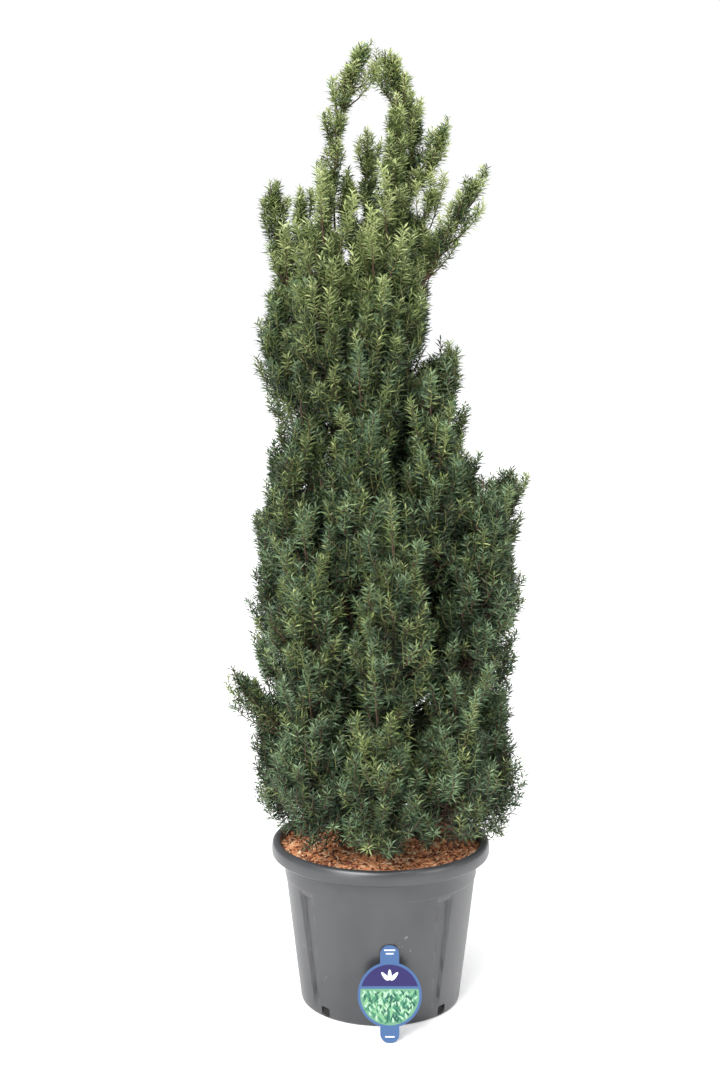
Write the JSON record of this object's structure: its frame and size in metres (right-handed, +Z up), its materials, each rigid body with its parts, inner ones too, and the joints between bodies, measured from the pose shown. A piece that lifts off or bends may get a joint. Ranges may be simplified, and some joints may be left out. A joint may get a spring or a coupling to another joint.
{
  "type": "potted yew",
  "caption": "Tall, narrow, many-stemmed yew with dark green needles, in a round fluted nursery pot topped with bark mulch, with a loose round care tag.",
  "frame": {"origin": "middle of the pot's flat underside, on the floor", "axes": "+Z up along the stems, -Y towards the side with the tag, +X to the right as seen from that side"},
  "size_m": [0.7368, 0.7254, 2.3234],
  "materials": {
    "pot_plastic": "satin, dark grey",
    "bark_mulch": "rough bark chips over soil",
    "bark": "flaking, reddish brown",
    "old_needles": "dark green needles, soft sheen",
    "young_needles": "yellow-green needles, soft sheen",
    "tag": "printed plastic sheet"
  },
  "bodies": {
    "root": {"pot": "pot_plastic", "mulch": "bark_mulch", "tag": "tag", "trunk": "bark", "bough_left_leader": "bark", "bough_left_stem": "bark", "bough_right_long": "bark", "bough_right_shoulder": "bark", "bough_right_plume": "bark", "bough_middle_1": "bark", "bough_middle_2": "bark", "bough_middle_3": "bark", "bough_middle_5": "bark", "bough_middle_6": "bark", "bough_middle_7": "bark", "mass_skirt_1": "old_needles", "mass_skirt_2": "old_needles", "mass_skirt_3": "old_needles", "mass_skirt_4": "old_needles", "mass_skirt_5": "old_needles", "mass_skirt_6": "old_needles", "mass_skirt_7": "old_needles", "mass_skirt_8": "old_needles", "mass_low_1": "old_needles", "mass_low_2": "old_needles", "mass_low_3": "old_needles", "mass_low_4": "old_needles", "mass_low_5": "old_needles", "mass_low_6": "old_needles", "mass_low_7": "old_needles", "mass_middle_1": "old_needles", "mass_middle_2": "old_needles", "mass_middle_3": "old_needles", "mass_middle_5": "old_needles", "mass_middle_6": "old_needles", "mass_middle_7": "old_needles", "mass_high_1": "old_needles", "mass_high_2": "old_needles", "mass_high_3": "old_needles", "mass_high_4": "old_needles", "mass_high_5": "old_needles", "mass_shoulder": "old_needles", "mass_right_plume": "old_needles", "mass_front_right": "old_needles", "mass_front_high": "old_needles", "mass_left_spike": "old_needles", "mass_left_cluster": "young_needles", "mass_left_inner": "young_needles", "mass_left_front": "young_needles", "mass_arch_left": "young_needles", "mass_arch_right": "young_needles", "mass_right_twin": "young_needles", "mass_right_long": "young_needles", "mass_right_small": "young_needles", "mass_leader_right": "young_needles", "mass_inner_left": "young_needles", "mass_inner_right": "young_needles", "mass_collar_front": "young_needles", "mass_collar_back": "young_needles"}
  },
  "joints": []
}
